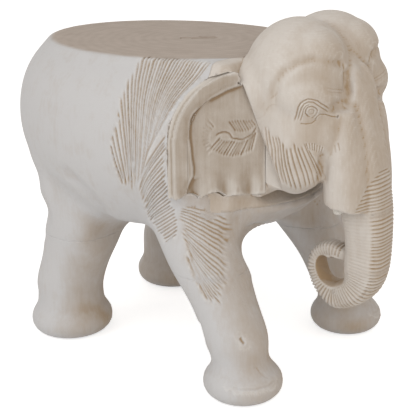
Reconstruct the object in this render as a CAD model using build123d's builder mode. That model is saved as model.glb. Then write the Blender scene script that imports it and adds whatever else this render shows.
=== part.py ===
"""Carved elephant stool: a round-bodied elephant whose flat back is the seat.

The stool is glued up from carved wooden blocks. The body block carries the head block on
the neck joint, four legs on flat leg joints, and two ear slabs let in behind the head.
The lower trunk is pegged up into the head block, and two tusk stubs sit in their sheaths.

Millimetres. +X is forward, +Y is the elephant's left, +Z is up. The origin is on the
floor, below the middle of the stool.
"""

import os
from math import cos, radians, sin, sqrt

from build123d import *

os.makedirs("parts", exist_ok=True)

# Barrel of the body and the seat cut across its top.
seat_height = 430
seat_length = 406
seat_width = 307
seat_center_x = -40
body_bulge = 48.5
bulge_height = 322
bulge_fullness = 2.3
belly_height = 175
belly_flat = 0.56

# Joints between the blocks.
neck_joint_x = 118
chin_height = 240
leg_joint_height = 160

# Withers: the block of neck that fills the barrel out towards the head.
neck_reach = 84
neck_throat_drop = 35
neck_throat_width = 170
neck_width = 238
neck_seat_width = 228
neck_corner = 30

# Legs: where each foot stands, and how wide its rounded rim is.
fore_foot_x = 164
fore_foot_y = 130
fore_foot_radius = 53
hind_foot_x = -161
hind_foot_y = 119
hind_foot_radius = 60
sole_inset = 17
rim_height = 17

# Fore leg, ankle to shoulder: height, set back from the foot, set in, half length, half width.
fore_leg_sections = [
    (35, 1, 0, 44.5, 46),
    (62, 8, 1, 38.5, 40),
    (100, 24, 4, 42.5, 43),
    (leg_joint_height, 62, 11, 50, 52),
    (leg_joint_height + 45, 88, 18, 59, 57),
    (leg_joint_height + 95, 102, 27, 66, 64),
    (leg_joint_height + 160, 104, 36, 66, 62),
]

# Hind leg, ankle to haunch, set forward from the foot instead.
hind_leg_sections = [
    (36, 0, 0, 53.5, 53),
    (64, 1, 1, 47, 46),
    (110, -11, 4, 50, 48),
    (leg_joint_height, -28, 8, 59.5, 54),
    (leg_joint_height + 45, -39, 11, 71, 60),
    (leg_joint_height + 100, -47, 19, 79, 70),
    (leg_joint_height + 160, -58, 31, 86, 76),
]

# Head, set out forward from the neck joint and up from the chin.
dome_forward = 60
dome_y = 47
dome_drop = 22
dome_radius = 61.5
dome_half_height = 72
brow_forward = 99
brow_y = 59
brow_rise = 139
brow_radius = 34
cheek_forward = 80
cheek_y = 62
cheek_rise = 82
cheek_radius = 43
cheek_half_height = 64
sheath_forward = 131
sheath_y = 37
sheath_rise = 10
sheath_length = 112
sheath_lean = 11
sheath_radius = 21

# Skull, chin to crown: rise above the chin, front face ahead of the neck joint, width.
skull_sections = [(15, 89, 110), (60, 120, 146), (110, 128, 160), (160, 116, 164), (188, 92, 130)]
skull_corner = 34

# Trunk, root to curl: rise above the chin, middle ahead of the neck joint, half depth, half width.
trunk_sections = [
    (162, 105, 25, 30),
    (110, 123, 30, 31),
    (60, 136, 30, 30),
    (0, 149, 28, 27),
    (-42, 153, 26, 25),
    (-85, 150, 25.5, 23.5),
    (-118, 139, 22, 21),
]
trunk_corner = 11
curl_forward = 111
curl_drop = 100
curl_radius = 45
curl_width = 36
curl_edge = 9
curl_hole_back = 7
curl_hole_up = 10
curl_hole_radius = 21.5
curl_tip_length = 9
curl_tip_width = 12

# Tusk stubs, set back and outward from the middle of their sheaths.
tusk_radius = 6.5
tusk_length = 44
tusk_stub = 12
tusk_back = 3
tusk_outward = 3

# Ears: slabs on a slanted seat, raised at the outer rim, scalloped along the bottom.
ear_edge_x = 97
ear_proud = 3
ear_angle = 46.8
ear_sweep = 8.6
ear_thickness = 10
ear_width = 104
ear_crown = 76
ear_drop = 10
ear_bottom_rise = 22
ear_straight = 68
scallop_height = 8
ear_rim = 12
ear_recess = 3

# Tail, carved in relief down the rump.
tail_relief = 6
tail_drop = 45
tail_length = 170
tail_top_width = 22
tail_bottom_width = 12

# Dowels and pegs, and the clearance of the holes that take them.
dowel_clearance = 0.1
leg_dowel_radius = 7
leg_dowel_length = 60
leg_dowel_spacing = 44
neck_dowel_radius = 10
neck_dowel_length = 90
neck_dowel_spacing = 90
neck_dowel_rise = 100
trunk_dowel_radius = 8
trunk_dowel_length = 64
ear_peg_radius = 4
ear_peg_length = 26
ear_peg_in_ear = 5
ear_peg_along = 32
ear_peg_rises = (38, 98)

# Construction size that only reaches past the object.
far = 600


def barrel_radii(height, relief=0.0):
    """Half length and half width of the barrel at one height."""
    half_length = seat_length / 2 + relief
    half_width = seat_width / 2 + relief
    if height >= bulge_height:
        rise = (height - bulge_height) / (seat_height - bulge_height)
        swell = body_bulge * (1 - rise**bulge_fullness)
        return half_length + swell, half_width + swell
    drop = (bulge_height - height) / (bulge_height - belly_height)
    narrowing = sqrt(1 - drop**2 * (1 - belly_flat**2))
    return (half_length + body_bulge) * narrowing, (half_width + body_bulge) * narrowing


def barrel_heights():
    """Heights of the barrel's loft sections, closer together near the belly."""
    lower = [belly_height + (bulge_height - belly_height) * share for share in (0, 0.12, 0.3, 0.55, 0.8)]
    upper = [bulge_height + (seat_height - bulge_height) * share for share in (0, 0.4, 0.75, 1)]
    return lower + upper


def barrel_side(x, height):
    """How far out the barrel's flank is at one length and height."""
    half_length, half_width = barrel_radii(height)
    return half_width * sqrt(1 - ((x - seat_center_x) / half_length) ** 2)


def leg_levels(foot_x, foot_y, rim_radius, sections):
    """All sections of a right leg, sole first: height, x, y, half length, half width."""
    levels = []
    for rise, inset in ((0, 1), (0.12, 0.66), (0.45, 0.24), (1, 0)):
        radius = rim_radius - inset * sole_inset
        levels.append((rise * rim_height, foot_x, -foot_y, radius, radius))
    for height, back, inward, half_length, half_width in sections:
        levels.append((height, foot_x - back, inward - foot_y, half_length, half_width))
    return levels


fore_levels = leg_levels(fore_foot_x, fore_foot_y, fore_foot_radius, fore_leg_sections)
hind_levels = leg_levels(hind_foot_x, hind_foot_y, hind_foot_radius, hind_leg_sections)
fore_joint = next(level for level in fore_levels if level[0] == leg_joint_height)
hind_joint = next(level for level in hind_levels if level[0] == leg_joint_height)
joint_plane = Plane.XY.offset(leg_joint_height)
chin_plane = Plane.XY.offset(chin_height)
neck_plane = Plane.YZ.offset(neck_joint_x)
ear_edge_y = barrel_side(ear_edge_x, bulge_height) + ear_proud
ear_bottom = chin_height + ear_bottom_rise
ear_shoulder = ear_bottom + ear_straight
ear_top = seat_height - ear_drop
tilt = radians(ear_angle)
ear_plane = Plane(
    origin=(ear_edge_x, -ear_edge_y, 0),
    x_dir=(cos(tilt), sin(tilt), 0),
    z_dir=(sin(tilt), -cos(tilt), 0),
)
ear_back_plane = ear_plane.offset(-ear_thickness)
sweep_turn = radians(ear_sweep)
ear_back_dir = Vector(-cos(sweep_turn), -sin(sweep_turn), 0)
ear_run = ear_thickness / (cos(sweep_turn) * sin(tilt) - sin(sweep_turn) * cos(tilt))


# Forms: whole shapes that the blocks are sawn from.
def elliptic_loft(levels):
    """Solid through a stack of level ellipses: height, x, y, half length, half width."""
    with BuildPart() as form:
        for height, x, y, half_length, half_width in levels:
            with BuildSketch(Plane((x, y, height))):
                Ellipse(half_length, half_width)
        loft()
    return form.part


def barrel_form(relief=0.0):
    """The barrel from belly to seat, grown all round by the relief."""
    return elliptic_loft(
        [(height, seat_center_x, 0, *barrel_radii(height, relief)) for height in barrel_heights()]
    )


def ovoid_form(x, y, height, radius, half_height):
    """An upright egg of circular plan."""
    with BuildPart() as form:
        with BuildSketch(Plane.XZ):
            Ellipse(radius, half_height)
            split(bisect_by=Plane.YZ, keep=Keep.TOP)
        revolve(axis=Axis.Z)
    return form.part.moved(Location((x, y, height)))


sheath_x = neck_joint_x + sheath_forward
sheath_end_height = chin_height + sheath_rise
barrel = barrel_form()
fore_leg_form = elliptic_loft(fore_levels)
hind_leg_form = elliptic_loft(hind_levels)

# The withers run from inside the barrel to just past the neck joint, which trims them.
neck_past = neck_corner / 2
neck_sections = [
    (chin_height - neck_throat_drop, neck_throat_width),
    (chin_height + neck_throat_drop, neck_width),
    (seat_height - neck_throat_drop, neck_width),
    (seat_height, neck_seat_width),
]
with BuildPart() as neck_form:
    for height, width in neck_sections:
        with BuildSketch(Plane((neck_joint_x + neck_past - neck_reach / 2, 0, height))):
            RectangleRounded(neck_reach, width, neck_corner)
    loft()

with BuildPart() as skull_form:
    for rise, front, width in skull_sections:
        with BuildSketch(Plane((neck_joint_x + (front - skull_corner) / 2, 0, chin_height + rise))):
            RectangleRounded(front + skull_corner, width, skull_corner)
    loft()

with BuildPart() as trunk_form:
    for rise, forward, half_depth, half_width in trunk_sections:
        with BuildSketch(Plane((neck_joint_x + forward, 0, chin_height + rise))):
            RectangleRounded(2 * half_depth, 2 * half_width, trunk_corner)
    loft()

with BuildPart() as sheath_form:
    for rise, lean in ((0, 0), (sheath_length, sheath_lean)):
        with BuildSketch(Plane((sheath_x - lean, -sheath_y, sheath_end_height + rise))):
            RectangleRounded(2 * sheath_radius, 2 * sheath_radius, 0.7 * sheath_radius)
    loft()

tail_top = seat_height - tail_drop
tail_bottom = tail_top - tail_length
with BuildPart() as tail_form:
    add(barrel_form(tail_relief))
    with BuildSketch(Plane.YZ):
        with BuildLine():
            Polyline(
                (-tail_bottom_width / 2, tail_bottom),
                (tail_bottom_width / 2, tail_bottom),
                (tail_top_width / 2, tail_top),
                (-tail_top_width / 2, tail_top),
                close=True,
            )
        make_face()
    extrude(amount=-far, mode=Mode.INTERSECT)


# Ears, made as the right one and mirrored.
with BuildPart() as right_ear:
    with BuildSketch(ear_plane):
        with BuildLine():
            Line((0, ear_bottom), (0, ear_shoulder))
            TangentArc((0, ear_shoulder), (ear_crown, ear_top), tangent=(0, 1))
            Line((ear_crown, ear_top), (ear_width, ear_shoulder))
            Line((ear_width, ear_shoulder), (ear_width, ear_bottom))
            third = ear_width / 3
            for step in (3, 2, 1):
                start = (step * third, ear_bottom)
                top = ((step - 0.5) * third, ear_bottom + scallop_height)
                end = ((step - 1) * third, ear_bottom)
                ThreePointArc(start, top, end)
        make_face()
    extrude(amount=ear_run, dir=ear_back_dir)
    with BuildSketch(ear_plane):
        with BuildLine():
            Line((ear_rim, 0), (ear_rim, ear_shoulder))
            TangentArc((ear_rim, ear_shoulder), (ear_crown, ear_top - ear_rim), tangent=(0, 1))
            Line((ear_crown, ear_top - ear_rim), (far, ear_top - ear_rim))
            Line((far, ear_top - ear_rim), (far, 0))
            Line((far, 0), (ear_rim, 0))
        make_face()
    extrude(amount=-ear_recess, mode=Mode.SUBTRACT)
ear_solid = right_ear.part.solids()[0]

# Everything in front of the ear's seat and above its lower edge is carved away for it.
with BuildPart() as ear_room:
    with BuildSketch(ear_back_plane):
        with Locations((0, ear_bottom + far / 2)):
            Rectangle(2 * far, far)
    extrude(amount=far)

# Dowels: where each one stands, shared by the dowels and their holes.
leg_dowel_spots = []
for joint in (fore_joint, hind_joint):
    for side in (1, -1):
        for shift in (-leg_dowel_spacing / 2, leg_dowel_spacing / 2):
            leg_dowel_spots.append((joint[1] + shift, side * joint[2]))
neck_dowel_height = chin_height + neck_dowel_rise
neck_dowel_spots = [(side * neck_dowel_spacing / 2, neck_dowel_height) for side in (-1, 1)]
trunk_joint_x = neck_joint_x + next(section[1] for section in trunk_sections if section[0] == 0)
ear_peg_spots = [(ear_peg_along, ear_bottom + rise) for rise in ear_peg_rises]


def upright_rods(spots, joint_height, radius, length):
    """Upright rods centred on a level joint."""
    with BuildPart() as rods:
        with BuildSketch(Plane.XY.offset(joint_height - length / 2)):
            with Locations(*spots):
                Circle(radius)
        extrude(amount=length)
    return rods.part


def neck_rods(radius, length):
    """Level rods centred on the neck joint."""
    with BuildPart() as rods:
        with BuildSketch(neck_plane.offset(-length / 2)):
            with Locations(*neck_dowel_spots):
                Circle(radius)
        extrude(amount=length)
    return rods.part


def ear_rods(radius, length):
    """Pegs of the right ear, from inside the slab back into the body."""
    with BuildPart() as rods:
        with BuildSketch(ear_back_plane.offset(ear_peg_in_ear)):
            with Locations(*ear_peg_spots):
                Circle(radius)
        extrude(amount=-length)
    return rods.part


def tusk_rods(radius, length):
    """Both tusk stubs: upright rods that show below the sheaths."""
    with BuildPart() as rods:
        for side in (-1, 1):
            tusk_y = side * (sheath_y + tusk_outward)
            with BuildSketch(Plane((sheath_x - tusk_back, tusk_y, sheath_end_height - tusk_stub))):
                Circle(radius)
            extrude(amount=length)
    return rods.part


trunk_dowel_spots = [(trunk_joint_x, 0)]
both_ends = 2 * dowel_clearance
leg_hole_radius = leg_dowel_radius + dowel_clearance
trunk_hole_radius = trunk_dowel_radius + dowel_clearance
leg_holes = upright_rods(leg_dowel_spots, leg_joint_height, leg_hole_radius, leg_dowel_length + both_ends)
trunk_hole = upright_rods(trunk_dowel_spots, chin_height, trunk_hole_radius, trunk_dowel_length + both_ends)
neck_holes = neck_rods(neck_dowel_radius + dowel_clearance, neck_dowel_length + both_ends)
ear_holes = ear_rods(ear_peg_radius + dowel_clearance, ear_peg_length)
tusk_holes = tusk_rods(tusk_radius + dowel_clearance, tusk_length + dowel_clearance)


# Body block.
with BuildPart() as body_block:
    add(barrel)
    add(fore_leg_form)
    add(hind_leg_form)
    mirror(fore_leg_form, about=Plane.XZ)
    mirror(hind_leg_form, about=Plane.XZ)
    add(neck_form.part)
    add(tail_form.part)
    with BuildSketch(joint_plane):
        Rectangle(2 * far, 2 * far)
    extrude(amount=-far, mode=Mode.SUBTRACT)
    with BuildSketch(chin_plane):
        with Locations((neck_joint_x + far / 2, 0)):
            Rectangle(far, 2 * far)
    extrude(amount=far, mode=Mode.SUBTRACT)
    add(ear_room.part, mode=Mode.SUBTRACT)
    mirror(ear_room.part, about=Plane.XZ, mode=Mode.SUBTRACT)
    add(leg_holes, mode=Mode.SUBTRACT)
    add(neck_holes, mode=Mode.SUBTRACT)
    add(ear_holes, mode=Mode.SUBTRACT)
    mirror(ear_holes, about=Plane.XZ, mode=Mode.SUBTRACT)
body_block.part.label = "body_block"
export_step(body_block.part, "parts/body_block.step")


# Head block.
ovoids = [
    (dome_forward, dome_y, seat_height - dome_drop, dome_radius, dome_half_height),
    (brow_forward, brow_y, chin_height + brow_rise, brow_radius, brow_radius),
    (cheek_forward, cheek_y, chin_height + cheek_rise, cheek_radius, cheek_half_height),
]
with BuildPart() as head_block:
    add(barrel)
    add(ear_room.part, mode=Mode.SUBTRACT)
    mirror(ear_room.part, about=Plane.XZ, mode=Mode.SUBTRACT)
    add(skull_form.part)
    add(trunk_form.part)
    for forward, y, height, radius, half_height in ovoids:
        for side in (-1, 1):
            add(ovoid_form(neck_joint_x + forward, side * y, height, radius, half_height))
    add(sheath_form.part)
    mirror(sheath_form.part, about=Plane.XZ)
    with BuildSketch(chin_plane):
        Rectangle(2 * far, 2 * far)
    extrude(amount=-far, mode=Mode.SUBTRACT)
    with BuildSketch(neck_plane):
        Rectangle(2 * far, 2 * far)
    extrude(amount=-far, mode=Mode.SUBTRACT)
    add(ear_solid, mode=Mode.SUBTRACT)
    mirror(ear_solid, about=Plane.XZ, mode=Mode.SUBTRACT)
    add(neck_holes, mode=Mode.SUBTRACT)
    add(trunk_hole, mode=Mode.SUBTRACT)
    add(tusk_holes, mode=Mode.SUBTRACT)
head_block.part.label = "head_block"
export_step(head_block.part, "parts/head_block.step")


# Trunk with its curl: a rounded disc with an off-centre hole that the trunk's tip dips into.
curl_x = neck_joint_x + curl_forward
curl_height = chin_height - curl_drop
curl_hole_x = curl_x - curl_hole_back
curl_hole_height = curl_height + curl_hole_up
with BuildPart() as curl_form:
    with BuildSketch(Plane.XZ.offset(-curl_width / 2)):
        with Locations((curl_x, curl_height)):
            Circle(curl_radius)
    extrude(amount=curl_width)
    fillet(curl_form.edges().filter_by(GeomType.CIRCLE), radius=curl_edge)

with BuildPart() as trunk:
    add(trunk_form.part)
    with BuildSketch(chin_plane):
        Rectangle(2 * far, 2 * far)
    extrude(amount=far, mode=Mode.SUBTRACT)
    add(curl_form.part)
    with BuildSketch(Plane.XZ.offset(-far / 2)):
        with Locations((curl_hole_x, curl_hole_height)):
            Circle(curl_hole_radius)
        with Locations((curl_hole_x, curl_hole_height + curl_hole_radius)):
            Ellipse(curl_tip_width / 2, curl_tip_length, mode=Mode.SUBTRACT)
    extrude(amount=far, mode=Mode.SUBTRACT)
    add(trunk_hole, mode=Mode.SUBTRACT)
trunk.part.label = "trunk"
export_step(trunk.part, "parts/trunk.step")


# Ears.
with BuildPart() as right_ear_slab:
    add(ear_solid)
    add(ear_holes, mode=Mode.SUBTRACT)
right_ear_slab.part.label = "right_ear"
export_step(right_ear_slab.part, "parts/right_ear.step")
with BuildPart() as left_ear_slab:
    mirror(right_ear_slab.part, about=Plane.XZ)
left_ear_slab.part.label = "left_ear"
export_step(left_ear_slab.part, "parts/left_ear.step")


# Tusk stubs, rounded at the tip.
tusk_solids = tusk_rods(tusk_radius, tusk_length).solids().sort_by(Axis.Y)
for name, solid in (("right_tusk", tusk_solids[0]), ("left_tusk", tusk_solids[1])):
    with BuildPart() as tusk:
        add(solid)
        fillet(tusk.edges().group_by(Axis.Z)[0], radius=0.7 * tusk_radius)
    tusk.part.label = name
    export_step(tusk.part, f"parts/{name}.step")


# Legs.
leg_forms = {"front": fore_leg_form, "rear": hind_leg_form}
for place, form in leg_forms.items():
    for hand in ("right", "left"):
        with BuildPart() as leg:
            if hand == "right":
                add(form)
            else:
                mirror(form, about=Plane.XZ)
            with BuildSketch(joint_plane):
                Rectangle(2 * far, 2 * far)
            extrude(amount=far, mode=Mode.SUBTRACT)
            add(leg_holes, mode=Mode.SUBTRACT)
        leg.part.label = f"{place}_{hand}_leg"
        export_step(leg.part, f"parts/{place}_{hand}_leg.step")


# Dowels and pegs.
with BuildPart() as leg_dowels:
    add(upright_rods(leg_dowel_spots, leg_joint_height, leg_dowel_radius, leg_dowel_length))
leg_dowels.part.label = "leg_dowels"
export_step(leg_dowels.part, "parts/leg_dowels.step")
with BuildPart() as neck_dowels:
    add(neck_rods(neck_dowel_radius, neck_dowel_length))
neck_dowels.part.label = "neck_dowels"
export_step(neck_dowels.part, "parts/neck_dowels.step")
with BuildPart() as trunk_dowel:
    add(upright_rods(trunk_dowel_spots, chin_height, trunk_dowel_radius, trunk_dowel_length))
trunk_dowel.part.label = "trunk_dowel"
export_step(trunk_dowel.part, "parts/trunk_dowel.step")
right_ear_pegs = ear_rods(ear_peg_radius, ear_peg_length - dowel_clearance)
with BuildPart() as ear_pegs:
    add(right_ear_pegs)
    mirror(right_ear_pegs, about=Plane.XZ)
ear_pegs.part.label = "ear_pegs"
export_step(ear_pegs.part, "parts/ear_pegs.step")
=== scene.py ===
"""Looks of the carved elephant stool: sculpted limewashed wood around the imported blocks."""

from math import cos, pi, radians, sin

import bmesh
import bpy
import numpy as np
from mathutils import Matrix, Vector


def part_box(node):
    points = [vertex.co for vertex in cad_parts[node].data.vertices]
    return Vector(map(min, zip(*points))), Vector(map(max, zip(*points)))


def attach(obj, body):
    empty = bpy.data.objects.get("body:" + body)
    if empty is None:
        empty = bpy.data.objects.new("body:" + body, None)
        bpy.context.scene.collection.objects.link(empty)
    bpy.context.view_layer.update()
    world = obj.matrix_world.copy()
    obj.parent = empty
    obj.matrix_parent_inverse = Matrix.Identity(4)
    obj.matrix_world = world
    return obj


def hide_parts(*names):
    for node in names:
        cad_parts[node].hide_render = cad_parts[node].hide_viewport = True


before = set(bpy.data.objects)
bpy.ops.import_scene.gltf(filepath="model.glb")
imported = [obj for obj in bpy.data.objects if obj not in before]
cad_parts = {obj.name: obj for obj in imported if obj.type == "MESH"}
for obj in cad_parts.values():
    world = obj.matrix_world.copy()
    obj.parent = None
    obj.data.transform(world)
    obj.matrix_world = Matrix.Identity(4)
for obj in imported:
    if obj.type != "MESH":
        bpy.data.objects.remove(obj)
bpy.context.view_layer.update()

# Blocks are worked in millimetres, and turned to metres when they are shown.
MM = 0.001

# Joint planes of the blocks and the height of the seat, read off the frame.
neck_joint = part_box("head_block")[0].x / MM
chin_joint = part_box("trunk")[1].z / MM
leg_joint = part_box("front_right_leg")[1].z / MM
seat_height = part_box("body_block")[1].z / MM

# The legs, and the ears with the side of the middle that each one is on.
legs = ("front_right_leg", "front_left_leg", "rear_right_leg", "rear_left_leg")
ears = {"right_ear": -1, "left_ear": 1}

# Places on the stool; ear_edge is the outer edge of the right ear's face, and beyond lies farther
# out than the stool on every side.
seat_middle = -40
seat_check = (-13, 11)
ring_heart = (-13, 12)
curl_heart = np.array([215, 147])
curl_half_width = 25
ear_edge = Vector((97, -172.4))
ear_angle = 46.8
ear_bottom = 262
ear_top = 421
crack_lean = 20
face_turn = 38
beyond = 400
up, down = (0, 0, 1), (0, 0, -1)

# The carver's small unevenness, the same on every run.
draw = np.random.default_rng(7)


# Forms: a block is a mesh in millimetres while it is worked.
def copies(*nodes):
    """One bmesh, in millimetres, of merged copies of the CAD nodes."""
    bm = bmesh.new()
    for node in nodes:
        bm.from_mesh(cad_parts[node].data)
    bmesh.ops.remove_doubles(bm, verts=bm.verts, dist=1e-5)
    bmesh.ops.scale(bm, vec=Vector((1, 1, 1)) / MM, verts=bm.verts)
    return bm


def egg(bm, centre, radii, turn=0.0):
    """Adds an egg form, or one each side of the middle where its centre stands off it."""
    for side in (-1, 1) if centre[1] else (1,):
        place = Matrix.Translation((centre[0], side * centre[1], centre[2]))
        place @= Matrix.Rotation(radians(turn), 4, "Y") @ Matrix.Diagonal((*radii, 1))
        bmesh.ops.create_icosphere(bm, subdivisions=4, radius=1, matrix=place)


def block(bm, low, high, place=Matrix()):
    """Adds a squared block between two corners, measured from the place it is given."""
    low, high = Vector(low), Vector(high)
    shape = Matrix.Translation((low + high) / 2) @ Matrix.Diagonal((*(high - low), 1))
    bmesh.ops.create_cube(bm, size=1, matrix=place @ shape)


def lone_block(low, high, place=Matrix()):
    """A squared block by itself."""
    bm = bmesh.new()
    block(bm, low, high, place)
    return bm


def forms_of(mesh):
    """A bmesh of the mesh."""
    bm = bmesh.new()
    bm.from_mesh(mesh)
    return bm


def add_forms(bm, forms):
    """Moves the forms of one bmesh into another."""
    mesh = bpy.data.meshes.new("forms")
    forms.to_mesh(mesh)
    forms.free()
    bm.from_mesh(mesh)


def one_skin(bm, name, voxel):
    """The forms run together as one closed skin of even quads."""
    mesh = bpy.data.meshes.new(name)
    bm.to_mesh(mesh)
    bm.free()
    work = bpy.data.objects.new(name, mesh)
    bpy.context.scene.collection.objects.link(work)
    remesh = work.modifiers.new("one skin", "REMESH")
    remesh.mode = "VOXEL"
    remesh.voxel_size = voxel
    graph = bpy.context.evaluated_depsgraph_get()
    skin = bpy.data.meshes.new_from_object(work.evaluated_get(graph))
    bpy.data.objects.remove(work)
    skin.name = name
    return skin


def points_of(mesh):
    """Places of the mesh's points, a row to each."""
    co = np.zeros(len(mesh.vertices) * 3, np.float32)
    mesh.vertices.foreach_get("co", co)
    return co.reshape(-1, 3).astype(float)


def normals_of(mesh):
    """The way out of the wood at each point."""
    mesh.update()
    n = np.zeros(len(mesh.vertices) * 3, np.float32)
    mesh.vertices.foreach_get("normal", n)
    return n.reshape(-1, 3).astype(float)


def put_points(mesh, co):
    """Moves the mesh's points to new places."""
    mesh.vertices.foreach_set("co", co.astype(np.float32).ravel())
    mesh.update()


def edge_ends(mesh):
    """The points at the two ends of every edge."""
    ends = np.zeros(len(mesh.edges) * 2, np.int32)
    mesh.edges.foreach_get("vertices", ends)
    return ends.reshape(-1, 2).T


def softened(mesh, values, gains, share=1.0):
    """Rows of values, one to a point, moved towards their neighbours' mean by each gain in turn."""
    a, b = edge_ends(mesh)
    values = values.copy()
    count = len(values)
    neighbours = np.bincount(a, minlength=count) + np.bincount(b, minlength=count)
    for gain in gains:
        for axis in range(3):
            v = values[:, axis]
            total = np.bincount(a, v[b], count) + np.bincount(b, v[a], count)
            v += gain * share * (total / neighbours - v)
    return values


def facet_size(mesh, co):
    """Mean length of the edges that meet at each point."""
    a, b = edge_ends(mesh)
    count = len(co)
    length = np.linalg.norm(co[a] - co[b], axis=1)
    total = np.bincount(a, length, count) + np.bincount(b, length, count)
    return total / (np.bincount(a, minlength=count) + np.bincount(b, minlength=count))


def relax(mesh, rounds, share):
    """Smooths the skin where share is above 0; each round shrinks it, then swells it back."""
    put_points(mesh, softened(mesh, points_of(mesh), [0.6, -0.62] * rounds, share))


def smooth_step(value, low, high):
    """From 0 at low to 1 at high, with soft ends; low may be the greater of the two."""
    t = np.clip((value - low) / (high - low), 0, 1)
    return t * t * (3 - 2 * t)


def grown(mesh, reach):
    """The skin moved outwards by the reach, or inwards by a negative one."""
    put_points(mesh, points_of(mesh) + reach * normals_of(mesh))
    return mesh


def trimmed(bm, planes):
    """Saws the forms to the normal's side of each (point, normal) plane and closes the cuts."""
    for point, normal in planes:
        geom = bm.verts[:] + bm.edges[:] + bm.faces[:]
        made = bmesh.ops.bisect_plane(
            bm, geom=geom, dist=1e-4, plane_co=point, plane_no=normal, clear_inner=True
        )
        rim = [e for e in made["geom_cut"] if isinstance(e, bmesh.types.BMEdge)]
        bmesh.ops.holes_fill(bm, edges=rim)


def with_fillets(mesh, reach, voxel, planes):
    """The skin with its hollow edges filled to the reach, on the normals' side of the planes."""
    under_skin = 0.3
    swollen = one_skin(forms_of(mesh), "swollen", voxel)
    relax(swollen, 6, 1.0)
    grown(swollen, reach)
    swollen = one_skin(forms_of(swollen), "swollen", voxel)
    relax(swollen, 12, 1.0)
    grown(swollen, -reach - under_skin)
    bm = forms_of(swollen)
    trimmed(bm, planes)
    bm.from_mesh(mesh)
    return one_skin(bm, mesh.name, voxel)


def combined(mesh, other, operation="DIFFERENCE"):
    """The block with another solid cut away from it, joined to it or met with it."""
    other_mesh = bpy.data.meshes.new("other")
    bmesh.ops.recalc_face_normals(other, faces=other.faces)
    other.to_mesh(other_mesh)
    other.free()
    tool = bpy.data.objects.new("other", other_mesh)
    work = bpy.data.objects.new("block", mesh)
    for piece in (tool, work):
        bpy.context.scene.collection.objects.link(piece)
    saw = work.modifiers.new("saw", "BOOLEAN")
    saw.operation = operation
    saw.solver = "MANIFOLD"
    saw.object = tool
    graph = bpy.context.evaluated_depsgraph_get()
    made = bpy.data.meshes.new_from_object(work.evaluated_get(graph))
    bpy.data.objects.remove(work)
    bpy.data.objects.remove(tool)
    made.name = mesh.name
    return made


def boxed(mesh, low, high):
    """The part of the block that lies between two corners."""
    return combined(mesh, lone_block(low, high), "INTERSECT")


# Wear and painted shade: how much of the wash is gone at each point of a block, with painted shade
# on faces turned to the front, in the hollows, on the legs' inner sides and on the seat's top.
# Stains: place and reach.
stains = [((-117, -135, 46), 13), ((-107, -115, 35), 12), ((-104, -102, 22), 12)]
# Strengths of the marks: patina and painted shade in the grooves, painted shade on faces turned to the front,
# darkening on the curl's inner walls, and stains.
groove_patina_and_shade, front_shade, curl_darkening, stain_wear = 0.6, 0.5, 0.6, 0.35
seat_radii = (201, 152)
seat_skin = 6
check_patch = 42


def joint_gap(co):
    """How far each point is from the nearest plane where two blocks meet."""
    past_joint, out_of_reach = 8, 99
    at_leg = np.abs(co[:, 2] - leg_joint)
    at_chin = np.where(co[:, 0] > neck_joint - past_joint, np.abs(co[:, 2] - chin_joint), out_of_reach)
    at_neck = np.where(co[:, 2] > chin_joint - past_joint, np.abs(co[:, 0] - neck_joint), out_of_reach)
    return np.min([at_leg, at_chin, at_neck], axis=0)


def about_curl(co, n):
    """The way to the middle of the trunk's curl, its length, and how squarely the skin faces it."""
    inward = curl_heart - co[:, [0, 2]]
    away = np.linalg.norm(inward, axis=1)
    facing = (inward * n[:, [0, 2]]).sum(1) / np.maximum(away, 1)
    return inward, away, np.where(np.abs(co[:, 1]) < curl_half_width, facing, -1)


def from_check(co):
    """How far each point is from the middle of the check in the seat, on the plan."""
    return np.hypot(co[:, 0] - seat_check[0], co[:, 1] - seat_check[1])


def shaded_insides(co, n):
    """Painted shade on the inner sides of the legs, and more of it lower down."""
    inner = smooth_step(-n[:, 1] * np.sign(co[:, 1]), 0.2, 0.9) * (np.abs(co[:, 1]) > 45)
    return inner * (0.16 + 0.26 * smooth_step(co[:, 2], 150, 60)) * (co[:, 2] < 230)


# Painted shade on the seat's flat top, inside its oval and round the check.
def shaded_seat(co, n):
    oval = ((co[:, 0] - seat_middle) / seat_radii[0]) ** 2 + (co[:, 1] / seat_radii[1]) ** 2
    flat = (from_check(co) < check_patch) | (n[:, 2] > 0.8)
    return smooth_step(oval, 1.03, 0.96) * (co[:, 2] > seat_height - seat_skin) * flat


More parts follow.
